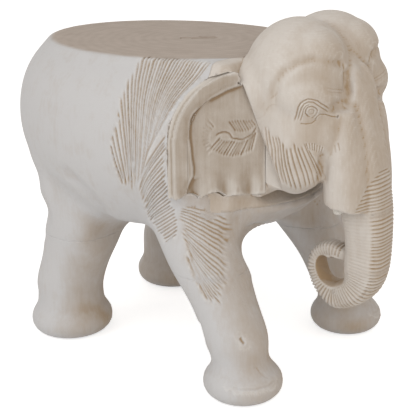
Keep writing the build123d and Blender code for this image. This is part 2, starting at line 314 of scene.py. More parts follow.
def wear_and_shade(mesh):
    """Marks where the wash is gone and where painted shade darkens it, where ridges take a painted highlight,
    and the seat's top, which takes painted shade.

    The sharp edge of a joint is no hollow or ridge, and coarse facets show little of either.
    """
    co, n = points_of(mesh), normals_of(mesh)
    gap = joint_gap(co)
    # How deep each point lies in a hollow: hollows take tan patina and painted shade, ridges a painted
    # highlight.
    hollow = ((softened(mesh, co, [0.5] * 24) - co) * n).sum(1) * smooth_step(gap, 1, 7)
    n = np.where((gap < 0.5)[:, None], softened(mesh, n, [1.0] * 8), n)
    fine = 0.12 + 0.88 * smooth_step(facet_size(mesh, co), 2.2, 1.5)
    _, away, facing = about_curl(co, n)
    curl_floor = smooth_step(facing, 0.3, 0.8) * smooth_step(away, 34, 28)
    # Faces turned to the front take painted shade.
    worn_and_shaded = groove_patina_and_shade * fine * smooth_step(hollow, 0.03, 0.8) + front_shade * smooth_step(n[:, 0], 0.1, 1)
    # Painted shade on the legs' inner sides.
    worn_and_shaded += shaded_insides(co, n)
    # Darker on the inner walls of the trunk's curl.
    worn_and_shaded += curl_darkening * curl_floor
    for place, reach in stains:
        worn_and_shaded += stain_wear * np.exp(-(np.linalg.norm(co - place, axis=1) / reach) ** 2)
    ridge = fine * smooth_step(-hollow, 0.05, 0.6) * (1 - curl_floor)
    marks = {"worn_and_shaded": np.clip(worn_and_shaded, 0, 1), "ridge": ridge, "seat": shaded_seat(co, n)}
    for label, values in marks.items():
        mark = mesh.attributes.new(label, "FLOAT", "POINT")
        mark.data.foreach_set("value", values.astype(np.float32))


def show(mesh, name, node, finish):
    """Puts a finished block in the scene in place of its CAD node."""
    wear_and_shade(mesh)
    mesh.transform(Matrix.Scale(MM, 4))
    mesh.materials.clear()
    mesh.materials.append(finish)
    piece = bpy.data.objects.new(name, mesh)
    bpy.context.scene.collection.objects.link(piece)
    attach(piece, "root")
    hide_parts(node)


# Finishes.
def linear(hex_colour):
    """sRGB hex to a linear colour."""
    channels = [int(hex_colour[i : i + 2], 16) / 255 for i in (1, 3, 5)]
    return (*[c / 12.92 if c <= 0.04045 else ((c + 0.055) / 1.055) ** 2.4 for c in channels], 1)


def per_metre(size):
    """How often a pattern of this size in millimetres repeats in a metre."""
    return 1 / (size * MM)


def feed(tree, node, inputs):
    """Sets a node's inputs; each is a value, or the (node, output) that feeds it."""
    for key, value in inputs.items():
        if isinstance(value, tuple) and isinstance(value[0], bpy.types.Node):
            tree.links.new(value[0].outputs[value[1]], node.inputs[key])
        else:
            node.inputs[key].default_value = value


def add_node(tree, kind, inputs=None, **settings):
    """Adds a shader node with its settings and inputs."""
    made = tree.nodes.new("ShaderNode" + kind)
    for key, value in settings.items():
        setattr(made, key, value)
    feed(tree, made, inputs or {})
    return made


# Sizes of the patterns in millimetres: soft patches in the wash, its specks of chalk, the gap of
# the seat's growth rings, and the fibres' width and length. Real rings are about 2 mm apart and real
# fibres under 1 mm wide, too fine to show, so both are drawn coarser.
patch_size = 25
speck_size = 20 / 13
ring_gap = 14.28
wood_fibre = (25 / 6, 50)
relief_depth = 0.6
# A ring pattern of scale 1 repeats every pi / 10 of a metre.
ring_scale = per_metre(ring_gap) * pi / 10

# How much patches and fibres change what is left of the wash, and how strongly ridges take a painted
# highlight.
patchy = 0.5
streaky = 0.36
ridge_highlight_share = 0.3

# Dry wash is dead matt; bare timber polished by hands is a little smoother.
dry_wash = 0.86
polished_timber = 0.68
wood_ior = 1.5

# Colour of the painted highlight on ridges.
ridge_highlight_colour = "#E4E1DC"
seat_pale = "#BDB1A6"
seat_dark = "#A4968A"
seat_split = "#6E5A42"

# Sockets of a Mix node that mixes colours.
first, second, mixed = 6, 7, 2


def washed_wood(name, wash, timber, base_loss_and_shade, fibre=wood_fibre):
    """Timber under a brushed lime wash; the fourth argument is how much of the wash has gone everywhere, and
    on the ears it also paints shade.

    fibre is the width and the length of the wood's fibres, in millimetres.
    """
    finish = bpy.data.materials.new(name)
    finish.use_nodes = True
    tree = finish.node_tree
    coords = (add_node(tree, "TexCoord"), "Object")
    across, along = (per_metre(size) for size in fibre)
    grain = add_node(tree, "Mapping", {"Vector": coords, "Scale": (across, across, along)})
    fibres = add_node(
        tree, "TexNoise", {"Vector": (grain, 0), "Scale": 1.0, "Detail": 5.0, "Roughness": 0.62}
    )
    patches = add_node(
        tree, "TexNoise",
        {"Vector": coords, "Scale": per_metre(patch_size), "Detail": 4.0, "Roughness": 0.6},
    )
    specks = add_node(tree, "TexNoise", {"Vector": coords, "Scale": per_metre(speck_size), "Detail": 2.0})
    marks = ("worn_and_shaded", "ridge", "seat")
    worn_and_shaded, ridge, seat = ((add_node(tree, "Attribute", attribute_name=mark), "Fac") for mark in marks)

    # The wash gives way to timber at the marked places, painted shade among them, in soft patches and along
    # the fibres.
    uneven = add_node(
        tree, "Math", {0: (patches, 0), 1: patchy, 2: base_loss_and_shade - patchy / 2}, operation="MULTIPLY_ADD"
    )
    uneven = add_node(tree, "Math", {0: (fibres, 0), 1: streaky, 2: (uneven, 0)}, operation="MULTIPLY_ADD")
    uneven = add_node(tree, "Math", {0: (uneven, 0), 1: streaky / 2}, operation="SUBTRACT")
    wash_loss_and_shade = add_node(tree, "Math", {0: worn_and_shaded, 1: (uneven, 0)}, operation="ADD", use_clamp=True)
    colour = {"Factor": (wash_loss_and_shade, 0), first: linear(wash), second: linear(timber)}
    colour = add_node(tree, "Mix", colour, data_type="RGBA")

    # Painted highlight: the ridges between the grooves are made whiter.
    highlight = add_node(tree, "Math", {0: ridge, 1: ridge_highlight_share}, operation="MULTIPLY")
    colour = {"Factor": (highlight, 0), first: (colour, mixed), second: linear(ridge_highlight_colour)}
    colour = add_node(tree, "Mix", colour, data_type="RGBA")

    # The seat's top takes painted shade as a darker taupe, over end grain with growth rings round the heart
    # of the log.
    to_heart = (-ring_heart[0] * MM, -ring_heart[1] * MM, 0)
    heart = add_node(tree, "Mapping", {"Vector": coords, "Location": to_heart})
    rings = {"Vector": (heart, 0), "Scale": ring_scale, "Distortion": 2.5, "Detail": 3.0, "Detail Scale": 2.0}
    rings = add_node(tree, "TexWave", rings, wave_type="RINGS", rings_direction="Z")
    tone = add_node(tree, "Math", {0: (rings, 1), 1: 0.16, 2: (patches, 0)}, operation="MULTIPLY_ADD")
    bare = {"Factor": (tone, 0), first: linear(seat_pale), second: linear(seat_dark)}
    bare = add_node(tree, "Mix", bare, data_type="RGBA")
    split = add_node(tree, "Math", {0: worn_and_shaded, 1: 2.2}, operation="MULTIPLY", use_clamp=True)
    bare = {"Factor": (split, 0), first: (bare, mixed), second: linear(seat_split)}
    bare = add_node(tree, "Mix", bare, data_type="RGBA")
    colour = {"Factor": seat, first: (colour, mixed), second: (bare, mixed)}
    colour = add_node(tree, "Mix", colour, data_type="RGBA")

    matt = add_node(tree, "MapRange", {"Value": (wash_loss_and_shade, 0), "To Min": dry_wash, "To Max": polished_timber})
    height = add_node(tree, "Math", {0: (fibres, 0), 1: 1.4, 2: (specks, 0)}, operation="MULTIPLY_ADD")
    relief = add_node(
        tree, "Bump", {"Height": (height, 0), "Strength": 0.5, "Distance": relief_depth * MM}
    )
    surface = {"Base Color": (colour, mixed), "Roughness": (matt, 0), "Normal": (relief, 0)}
    feed(tree, tree.nodes["Principled BSDF"], surface | {"IOR": wood_ior})
    return finish


# Lime wash over pale hardwood: chalky grey-white flanks with tan showing in the carving, deepened there by
# painted shade.
body_finish = washed_wood("limewashed hardwood", "#C9C8C8", "#A28A6C", 0.0)
# The same wash on the head, a little creamier where it is handled most.
head_finish = washed_wood("limewashed hardwood, handled", "#D0C9C1", "#A08768", 0.04)
# Trunk: wash rubbed thin over the front rings.
trunk_finish = washed_wood("limewashed hardwood, rubbed", "#D0C9C1", "#A08768", 0.06)
# Ears: painted shade, for faces turned from the light, makes the field a darker grey-brown; the wood has
# upright grain.
ear_finish = washed_wood("ear board with painted shade", "#CFC9C1", "#8A7358", 0.15, (10 / 3, 62.5))
# Tusks: clean, pale and close-grained under the wash.
tusk_finish = washed_wood("limewashed tusk wood", "#DAD6CE", "#B59D7E", 0.0, (2, 25))
# Dowels: bare turned hardwood rod, never washed.
dowel_finish = washed_wood("bare turned rod", "#C4A47C", "#9C7A52", 0.3, (5 / 3, 20))


# Ears: where they stand, and the room they take from the blocks behind them.
ear_skin_voxel = 1.5
ear_clearance = 0.5
ear_overlap = -0.1
ear_tongue = ((62, 3, 264), (110, 10, 404))
crack_middle = (99, 0, 356)
before_crack = ((-120, -39, -160), (0, 3, 80))


def ear_plane(part):
    """Along the ear from its outer edge, into the wood, and up."""
    turned = Matrix.Rotation(radians(ear_angle), 4, "Z")
    mirrored = Matrix.Diagonal((1, -ears[part], 1, 1))
    return mirrored @ Matrix.Translation((ear_edge.x, ear_edge.y, 0)) @ turned


def ear_axes(part):
    """The foot of the ear's outer edge, the way along its face, and the way out of its face."""
    side, t = ears[part], radians(ear_angle)
    return (ear_edge.x, side * -ear_edge.y, 0), (cos(t), -side * sin(t), 0), (sin(t), side * cos(t), 0)


def ear_board(part):
    """The ear's own solid, running on a little way behind the cheek."""
    bm = copies(part)
    block(bm, *ear_tongue, ear_plane(part))
    return bm


def ear_face(part):
    """The space before the face of the ear, up to the slanting crack where the head begins."""
    crack = Matrix.Translation(crack_middle) @ Matrix.Rotation(radians(-crack_lean), 4, "Y")
    return lone_block(*before_crack, ear_plane(part) @ crack)


def ear_room(part, slack):
    """The ear's own solid, with what stands close in front of it and a little slack round it."""
    face_depth, reach = 5, 30
    corner, _, outward = (Vector(axis) for axis in ear_axes(part))
    bm = ear_board(part)
    for v in bm.verts:
        height = (v.co - corner).dot(outward)
        if height > -face_depth:
            v.co += (reach - height) * outward
    return forms_of(grown(one_skin(bm, "ear room", ear_skin_voxel), slack))


def without_ears(mesh, slack):
    """The block with both ears, and all that lies in front of their faces, cut away from it."""
    low, high = (-beyond, -beyond, ear_bottom), (beyond, 0, ear_top)
    for part in ears:
        mesh = combined(mesh, lone_block(low, high, ear_plane(part)))
        mesh = combined(mesh, ear_room(part, slack))
    return mesh


# Carving: strokes of a gouge are drawn on flat boards and cut where they fall on the skin.
stroke_points = 24


def refined(mesh, inside, cuts):
    """Smaller facets where inside says so, ready for carving."""
    chosen = inside(points_of(mesh), normals_of(mesh))
    bm = forms_of(mesh)
    edges = [e for e in bm.edges if chosen[e.verts[0].index] and chosen[e.verts[1].index]]
    bmesh.ops.subdivide_edges(bm, edges=edges, cuts=cuts, use_grid_fill=True)
    bm.to_mesh(mesh)
    bm.free()


def drawn(co, turn=0):
    """Each point as it falls on an upright drawing board, turned from the flank towards the face."""
    t = radians(turn)
    return np.column_stack([co[:, 0] * cos(t) - np.abs(co[:, 1]) * sin(t), co[:, 2]])


def nearest_on(line, points):
    """Distance of each point from a line of points, and how far along it, from 0 to 1."""
    line = np.array(line, float)
    steps = np.linalg.norm(np.diff(line, axis=0), axis=1)
    before = np.concatenate([[0], np.cumsum(steps)])
    best = np.full(len(points), np.inf)
    along = np.zeros(len(points))
    for i, (a, b) in enumerate(zip(line, line[1:])):
        t = np.clip((points - a) @ (b - a) / max(steps[i] ** 2, 1e-9), 0, 1)
        away = np.linalg.norm(points - a - t[:, None] * (b - a), axis=1)
        closer = away < best
        best[closer] = away[closer]
        along[closer] = (before[i] + t[closer] * steps[i]) / before[-1]
    return best, along


def within(flat, outline):
    """Which points of the drawing lie inside a closed outline."""
    inside = np.zeros(len(flat), bool)
    for (xa, za), (xb, zb) in zip(outline, outline[1:] + outline[:1]):
        crosses = (za > flat[:, 1]) != (zb > flat[:, 1])
        at = xa + (flat[:, 1] - za) / (zb - za if zb != za else 1e-9) * (xb - xa)
        inside ^= crosses & (flat[:, 0] < at)
    return inside


def gouged(flat, strokes):
    """How deep the strokes, each a line, a width and a depth, cut at each point of the drawing."""
    depth = np.zeros(len(flat))
    for line, width, deep in strokes:
        line = np.array(line, float)
        close = (flat > line.min(0) - width) & (flat < line.max(0) + width)
        near = np.flatnonzero(close.all(1))
        if not len(near):
            continue
        away, along = nearest_on(line, flat[near])
        groove = 0.5 + 0.5 * np.cos(np.pi * np.clip(away / width, 0, 1))
        run_in = smooth_step(along, -0.01, 0.1) * (1 - smooth_step(along, 0.88, 1.01))
        depth[near] = np.maximum(depth[near], deep * groove * run_in)
    return depth


def evened(line, count):
    """The line drawn again with count points, evenly spaced."""
    line = np.array(line, float)
    before = np.concatenate([[0], np.cumsum(np.linalg.norm(np.diff(line, axis=0), axis=1))])
    at = np.linspace(0, before[-1], count)
    return np.column_stack([np.interp(at, before, line[:, k]) for k in range(line.shape[1])])


def fan(guides, per_gap, width, deep, short=0.0):
    """Gouge strokes spaced evenly between guide lines, every other one stopping short."""
    guides = [evened(guide, stroke_points) for guide in guides]
    bow = np.sin(np.linspace(0, np.pi, stroke_points))[:, None]
    strokes = []
    for i in range(int(per_gap * (len(guides) - 1)) + 1):
        place = i / per_gap + draw.uniform(-0.12, 0.12) / per_gap
        place = min(max(place, 0), len(guides) - 1.001)
        k = int(place)
        line = guides[k] + (place - k) * (guides[k + 1] - guides[k])
        start = draw.integers(0, 3)
        stop = stroke_points - draw.integers(0, 3) - int(stroke_points * short * (i % 2))
        line = line + draw.uniform(-0.4, 0.4, 2) * bow
        stroke_width = width * draw.uniform(0.85, 1.15)
        stroke_depth = deep * draw.uniform(0.75, 1.2)
        strokes.append((line[start:stop], stroke_width, stroke_depth))
    return strokes


def hatch(top, bottom, count, width, deep):
    """Short strokes from one line across to another."""
    return [
        (np.linspace(a, b, 4) + draw.uniform(-0.3, 0.3, 2), width, deep * draw.uniform(0.75, 1.15))
        for a, b in zip(evened(top, count), evened(bottom, count))
    ]


def on_right(co):
    """The points, with those of the left side mirrored to the right."""
    return np.column_stack([co[:, 0], -np.abs(co[:, 1]), co[:, 2]])


def press(mesh, line, reach, deep):
    """Presses a soft hollow along a line on both sides, or a ridge where deep is negative."""
    co = points_of(mesh)
    away, along = nearest_on(line, on_right(co))
    share = np.clip(1 - (away / reach) ** 2, 0, 1) ** 2
    share *= smooth_step(along, -0.01, 0.15) * (1 - smooth_step(along, 0.85, 1.01))
    put_points(mesh, co - (deep * share)[:, None] * normals_of(mesh))


def scored(mesh, lines, reach, deep, cuts):
    """Refines the skin along each line on both sides and cuts a narrow mark there."""
    def beside(co, n):
        return np.min([nearest_on(line, on_right(co))[0] for line in lines], axis=0) < reach + 6

    refined(mesh, beside, cuts)
    for line in lines:
        press(mesh, line, reach, deep)


def carve(mesh, inside, board, strokes):
    """Cuts the strokes into the skin where inside says so; board lays its points on the drawing."""
    co, n = points_of(mesh), normals_of(mesh)
    zone = inside(co, n)
    depth = np.zeros(len(co))
    depth[zone] = gouged(board(co[zone]), strokes)
    put_points(mesh, co - depth[:, None] * n)


def widened(strokes, width):
    """The strokes at one greater width, to refine the skin for them."""
    return [(line, width, 1) for line, _, _ in strokes]


def bent(line, count):
    """One smooth curve of count points through the points of the line."""
    line = np.array(line, float)
    knots = np.concatenate([[0], np.cumsum(np.hypot(*np.diff(line[:, :2], axis=0).T))])
    padded = np.vstack([2 * line[0] - line[1], line, 2 * line[-1] - line[-2]])
    pk = np.concatenate([[-knots[1]], knots, [2 * knots[-1] - knots[-2]]])
    slope = (padded[2:] - padded[:-2]) / (pk[2:] - pk[:-2])[:, None]
    s = np.linspace(0, knots[-1], count)
    i = np.clip(np.searchsorted(knots, s) - 1, 0, len(knots) - 2)
    h = (knots[i + 1] - knots[i])[:, None]
    t = (s - knots[i])[:, None] / h
    return (
        (2 * t**3 - 3 * t**2 + 1) * line[i]
        + (t**3 - 2 * t**2 + t) * h * slope[i]
        + (3 * t**2 - 2 * t**3) * line[i + 1]
        + (t**3 - t**2) * h * slope[i + 1]
    )


def ways_along(curve):
    """Which way the curve runs at each of its points."""
    tangent = np.gradient(curve, axis=0)
    return tangent / np.linalg.norm(tangent, axis=1)[:, None]


def swept(bm, line, squareness, rings=150, sides=56):
    """Adds a tapering limb along a line in the middle plane: x, z, half depth, half width."""
    curve = bent(line, rings + 1)
    tangent = ways_along(curve[:, :2])
    grid = bmesh.new()
    bmesh.ops.create_grid(grid, x_segments=sides, y_segments=rings, size=1)
    power = 2 / squareness
    for v in grid.verts:
        k = round((v.co.y + 1) / 2 * rings)
        x, z, depth, width = curve[k]
        angle = np.pi * (v.co.x + 1)
        c, d = cos(angle), sin(angle)
        c = abs(c) ** power * (1 if c > 0 else -1)
        d = abs(d) ** power * (1 if d > 0 else -1)
        outward = Vector((-tangent[k][1], 0, tangent[k][0]))
        v.co = Vector((x, 0, z)) + outward * (depth * c) + Vector((0, width * d, 0))
    bmesh.ops.remove_doubles(grid, verts=grid.verts, dist=0.01)
    bmesh.ops.holes_fill(grid, edges=[e for e in grid.edges if e.is_boundary])
    bmesh.ops.recalc_face_normals(grid, faces=grid.faces)
    add_forms(bm, grid)


def shade_smooth(mesh):
    """Lets light run smoothly over the facets."""
    mesh.polygons.foreach_set("use_smooth", [True] * len(mesh.polygons))


# Body and legs: one skin, with deep fillets where the legs, neck and ears grow out of the barrel,
# and squared wood between the ears.
torso_voxel = 4.4
torso_fillet = 35
fillet_floor = 95
chest_core = ((49, -119, 236), (139, 119, seat_height))
shoulder_core = ((60, -132, 350), (136, 132, seat_height))
bm = copies("body_block", *legs, *ears)
block(bm, *chest_core)
block(bm, *shoulder_core)
torso = one_skin(bm, "torso", torso_voxel)
fillet_limits = [((0, 0, fillet_floor), up), ((0, 0, seat_height), down)]
torso = with_fillets(torso, torso_fillet, torso_voxel, fillet_limits)
z = points_of(torso)[:, 2]
relax(torso, 40, smooth_step(z, 24, 44) * (1 - smooth_step(z, 405, 420)))

# Feet: the middle of a foot (x, y), the shares by which it slims at its rim and swells above its
# toes, and the height of the swelling.
foot_shapes = {"front": (164, 130, 0.01, 0.035, 48), "rear": (-161, 119, 0.0, 0.07, 53)}
foot_reach = 85
foot_height = 110


def with_feet(co):
    """The points of the torso with the feet given their shapes."""
    for part in legs:
        foot_x, foot_y, slim, swell, swell_height = foot_shapes[part.split("_")[0]]
        arm = co[:, :2] - (foot_x, foot_y if "left" in part else -foot_y)
        near = (np.hypot(*arm.T) < foot_reach) & (co[:, 2] < foot_height)
        slimmed = slim * smooth_step(co[:, 2], 50, 34)
        swelled = swell * np.exp(-(((co[:, 2] - swell_height) / 13) ** 2))
        co[:, :2] += np.where(near, swelled - slimmed, 0)[:, None] * arm
    return co


put_points(torso, with_feet(points_of(torso)))

# Soft forms of the barrel and legs: a line on the right side, its reach, and how deep it is
# pressed; a depth below 0 is raised.
torso_forms = {
    "arch of the belly": (
        [(-95, -112, 178), (-50, -112, 174), (0, -112, 174), (40, -112, 178), (72, -108, 182)], 62, 14
    ),
    "side of the chest": ([(100, -40, 170), (118, -58, 174), (137, -70, 184), (155, -66, 205)], 40, 8),
    "middle of the chest": ([(60, -4, 168), (84, -6, 174), (108, -14, 186), (135, -40, 202)], 52, 13),
    "front of the fore leg": ([(157, -98, 208), (163, -96, 187), (166, -95, 165), (168, -95, 142)], 26, -6),
    "back of the knee": ([(104, -150, 98), (106, -151, 84), (108, -152, 68)], 30, 4),
    "back of the fore leg": ([(92, -118, 172), (76, -118, 146), (72, -118, 132), (84, -122, 108)], 32, -4.5),
    "haunch": ([(-130, -170, 236), (-177, -145, 236), (-205, -115, 236), (-228, -70, 236)], 52, -6),
    "below the haunch": ([(-140, -165, 192), (-174, -150, 190), (-200, -130, 190), (-215, -100, 192)], 32, 5),
    "back of the hind leg": ([(-189, -145, 150), (-190, -145, 107), (-190, -145, 60)], 44, -2),
    "crease before the haunch": (
        [(-96, -191, 279), (-66, -190, 265), (-48, -182, 245), (-40, -166, 221), (-56, -132, 196)], 18, 3
    ),
}
for line, reach, deep in torso_forms.values():
    press(torso, line, reach, deep)

# Fans of grooves over the shoulder and down the fore leg: points (x, z) on the flank.
shoulder_fan = [
    [(8, 332), (13, 305), (17, 285), (19, 266)],
    [(16, 384), (24, 360), (29, 335), (31, 310), (29, 285), (25, 265)],
    [(12, 432), (31, 388), (37, 362), (39, 335), (39, 310), (36, 285), (31, 262)],
    [(24, 452), (42, 397), (47, 370), (49, 345), (48, 318), (44, 295), (38, 272), (34, 258)],
    [(43, 458), (53, 405), (56, 378), (57, 350), (55, 322), (50, 300), (44, 282), (37, 262)],
    [(64, 458), (64, 405), (64, 378), (63, 352), (60, 328), (54, 306), (47, 288), (40, 270)],
    [(85, 458), (76, 408), (71, 385), (68, 360), (64, 338), (58, 318), (51, 300), (44, 284)],
    [(109, 458), (88, 408), (80, 388), (74, 366), (68, 345), (60, 325), (53, 308), (46, 292)],
    [(137, 455), (101, 405), (91, 390), (83, 372), (75, 352), (66, 334), (57, 317), (49, 302)],
]
side_fan = [
    [(86, 352), (78, 338), (69, 324), (61, 311), (53, 298), (46, 286), (41, 275)],
    [(84, 330), (75, 317), (66, 305), (57, 293), (49, 281), (42, 268), (38, 257)],
    [(83, 308), (73, 296), (63, 285), (53, 273), (45, 261), (38, 249)],
    [(82, 288), (71, 277), (60, 267), (50, 256), (41, 245), (35, 236)],
    [(81, 270), (70, 260), (58, 250), (47, 240), (38, 231), (33, 225)],
    [(82, 254), (70, 245), (57, 236), (46, 228), (37, 220)],
    [(86, 242), (73, 233), (60, 224), (49, 217), (41, 212)],
    [(88, 228), (77, 219), (66, 211), (57, 206)],
    [(87, 212), (78, 204), (70, 198)],
]
leg_fan = [
    [(92, 252), (104, 249), (116, 244), (127, 235), (135, 226)],
    [(88, 242), (102, 237), (115, 229), (128, 217), (136, 203)],
    [(88, 231), (102, 224), (117, 214), (132, 200), (142, 184)],
    [(91, 222), (104, 212), (120, 199), (136, 184), (149, 165)],
    [(95, 213), (107, 200), (123, 183), (140, 166), (154, 147)],
    [(100, 204), (111, 188), (126, 170), (142, 152), (155, 138)],
    [(104, 197), (114, 180), (127, 160), (139, 144), (152, 130)],
    [(105, 189), (112, 174), (122, 158), (132, 141), (141, 129)],
    [(100, 192), (107, 183), (111, 175), (115, 165), (119, 155)],
]
groove_width = 1.75
flank_strokes = fan(shoulder_fan, 3.6, groove_width, 2.2, 0.06)
flank_strokes += fan(side_fan, 3.2, groove_width, 2.1, 0.06)
flank_strokes += fan(leg_fan, 3, groove_width, 1.9, 0.05)
flank_reach = widened(flank_strokes, 4)


def carved_flank(co, n):
    """Where the fans are cut: on the flanks, and not in front of the ears."""
    inside = (n[:, 1] * co[:, 1] > 0) & (np.abs(co[:, 1]) > 60) & (np.abs(n[:, 1]) > 0.08)
    t = radians(ear_angle)
    ahead = (co[:, 0] - ear_edge.x) * sin(t) + (np.abs(co[:, 1]) + ear_edge.y) * cos(t)
    inside &= (ahead < 12) | (co[:, 2] < ear_bottom - 6)
    inside[inside] = gouged(drawn(co[inside]), flank_reach) > 0
    return inside


refined(torso, carved_flank, 3)
relax(torso, 8, carved_flank(points_of(torso), normals_of(torso)) * 1.0)
carve(torso, carved_flank, drawn, flank_strokes)

# Toenails of the fore foot, and a nick in the fore leg.
toe_lines = [
    [(174, -176, 33), (190, -172, 30), (204, -159, 29), (212, -141, 29), (211, -125, 31)],
    [(192, -143, 52), (201, -139, 40), (209, -133, 33)],
]
leg_nick = [(177, -154, 92), (180, -153, 87), (183, -152, 83)]
scored(torso, toe_lines, 2.4, 0.5, 2)
scored(torso, [leg_nick], 3.0, 2.2, 2)

# Check in the heart of the seat: lines (x, y) on its plan, their widths and depths.
check_lines = [
    ([(-38, -8), (-22, 5), (-12, 12), (-2, 20), (11, 29)], 4.2, 3.6),
    ([(-18, -2), (-9, 7), (-1, 13), (9, 21)], 3.2, 3.0),
    ([(-20, 18), (-10, 26), (0, 33)], 3.2, 2.6),
]
check_reach = 29


def checked_seat(co, n):
    """The part of the seat that the check runs through."""
    return (from_check(co) < check_reach) & (co[:, 2] > seat_height - 1)


refined(torso, checked_seat, 3)
carve(torso, checked_seat, lambda co: co[:, :2], check_lines)
shade_smooth(torso)

# Head and trunk: one skin. Egg forms of the head: centre and radii, one each side.
head_voxel = 2.5
head_fillet = 16
head_eggs = {
    "skull": ((181, 36, 408), (65, 72, 71)),
    "temple": ((152, 66, 391), (42, 49, 49)),
    "dome": ((201, 42, 434), (43, 44, 38)),
    "brow": ((206, 60, 390), (43, 45, 37)),
    "cheek": ((192, 57, 348), (50, 47, 88)),
    "root of the trunk": ((213, 42, 350), (41, 42, 60)),
    "jaw": ((197, 60, 302), (38, 34, 37)),
}
# Middle line of the trunk from its root to its tip: x, z, half depth, half width.
trunk_line = [
    (216, 430, 17, 14),
    (235, 394, 25, 23),
    (242, 350, 29.5, 29),
    (253, 300, 31.5, 31),
    (265, 240, 30.2, 29.5),
    (269.5, 198, 27.4, 27.5),
    (268, 160, 26.8, 26),
    (263, 137, 23, 24),
    (250, 121, 19, 22),
    (229, 111.5, 17, 20.5),
    (210, 118, 12.5, 18),
    (198, 131, 9.5, 17),
    (192, 148, 8.3, 16),
    (195.5, 163.5, 8.2, 15),
    (206.5, 173, 8.8, 14.5),
    (220, 175.6, 9.4, 14),
    (232, 173.5, 8.8, 13.5),
    (244, 170.5, 8, 13),
]
trunk_squareness = 3.2
curl_lip = ((215, 0, 167), (5, 13.5, 4.5))
sheath_eggs = [((249, 24, 300), (28, 36, 105), -9), ((248, 36, 290), (23, 24.5, 95))]
sheath_cut = ((240, 0, 251), (0.22, 0, 0.975))
neck_core = ((70, -108, 272), (152, 108, 412))
throat_core = ((70, -96, 258), (166, 96, 400))

# The head, with squared wood behind its cheeks.
bm = bmesh.new()
for form in head_eggs.values():
    egg(bm, *form)
block(bm, *neck_core)
block(bm, *throat_core)
head_skin = one_skin(bm, "head", head_voxel)
head_skin = with_fillets(head_skin, head_fillet, head_voxel, [((0, 0, ear_bottom), up)])
relax(head_skin, 16, 1.0)

# The trunk, the lip that closes its curl, and the tusk sheaths, sawn off at a slant below.
bm = forms_of(head_skin)
swept(bm, trunk_line, trunk_squareness)
egg(bm, *curl_lip)
sheaths = bmesh.new()
for form in sheath_eggs:
    egg(sheaths, *form)
trimmed(sheaths, [sheath_cut])
add_forms(bm, sheaths)
head_skin = one_skin(bm, "head", head_voxel)
relax(head_skin, 14, 0.4 + 0.6 * smooth_step(points_of(head_skin)[:, 2], 350, 385))

# Soft hollows pressed into the head, as those of the body.
brow_crease = [(188, -103, 380), (190, -103, 391), (194, -103, 408), (204, -97, 424), (215, -86, 432)]
brow_crease += [(226, -72, 436), (236, -56, 433), (243, -40, 428), (246, -30, 420)]
head_forms = {
    "crease over the brow": (brow_crease, 9, 5),
    "side of the trunk's root": (
        [(246, -28, 424), (248, -29, 408), (252, -30, 395), (253, -36, 380), (254, -45, 366)], 11, 4
    ),
    "ridge down the forehead": ([(249, -8, 426), (251, -15, 411), (255, -20, 394), (258, -26, 375)], 10, -3),
    "hollow before the eye": ([(254, -50, 386), (254, -50, 372)], 24, 4),
    "hollow of the cheek": ([(236, -67, 328), (236, -64, 302), (235, -62, 280)], 9, 4),
}
for line, reach, deep in head_forms.values():
    press(head_skin, line, reach, deep)
relax(head_skin, 3, 1.0)

# Sharp crease on each side of the trunk's root.
root_crease = [(243, -33, 430), (245, -30, 418), (246, -28, 406), (249, -29, 394), (251, -33, 385)]
scored(head_skin, [root_crease], 3.2, 1.8, 1)

# Wrinkles round the eye and the hatched cheek: points on a board turned to the face, and each
# stroke's width and depth.
eye_strokes = [
    ([(110.8, 364.1), (112.9, 373.1), (114.2, 382.6), (116.9, 388.3), (120.9, 391.4), (125.6, 393.5),
      (130.3, 393.0), (137.6, 390.7), (142.7, 386.5), (149.0, 382.1), (154.2, 377.1)], 1.5, 1.1),
    ([(114.9, 365.5), (116.3, 374.6), (118.3, 382.7), (121.6, 387.7), (126.8, 390.1), (132.8, 389.2),
      (139.0, 384.4), (142.8, 381.6), (149.1, 376.1)], 1.4, 1.0),
    ([(117.9, 364.9), (119.9, 373.4), (121.2, 381.4), (124.0, 385.2), (129, 387)], 1.2, 0.8),
    ([(131.5, 370), (126.5, 371.5), (123.2, 375.5), (123.6, 380.1), (125.9, 383.3), (130.6, 384.4),
      (135.5, 382.1), (138.1, 378.2), (136.5, 373.3), (133.1, 369.4), (129, 369)], 1.3, 1.1),
    ([(127, 377.5), (128.3, 380.5), (131.5, 381), (133.8, 378.5), (132.8, 375.2), (129.8, 374.2),
      (127.4, 375.6)], 1.0, 0.6),
    ([(135.1, 366.4), (141.7, 373.4)], 1.3, 0.9),
    ([(117.3, 362.4), (124.5, 361.7), (131.7, 362.2), (138.6, 366.7)], 1.4, 0.8),
    ([(139.4, 373.1), (148.1, 371.8), (156.0, 368.4), (164.0, 366.6)], 1.3, 1.0),
    ([(140.2, 387.4), (146.5, 383.6), (152.9, 378.0)], 1.2, 0.8),
    ([(141.5, 382.9), (146.6, 378.8), (151.8, 373.8)], 1.2, 0.8),
    ([(163.2, 367.6), (165.6, 366.4)], 2.2, 3.0),
    ([(147.5, 404.5), (160.8, 400.1), (175.8, 393.3)], 1.1, 0.4),
    ([(150, 400), (161, 396.5), (172, 391)], 1.0, 0.35),
]
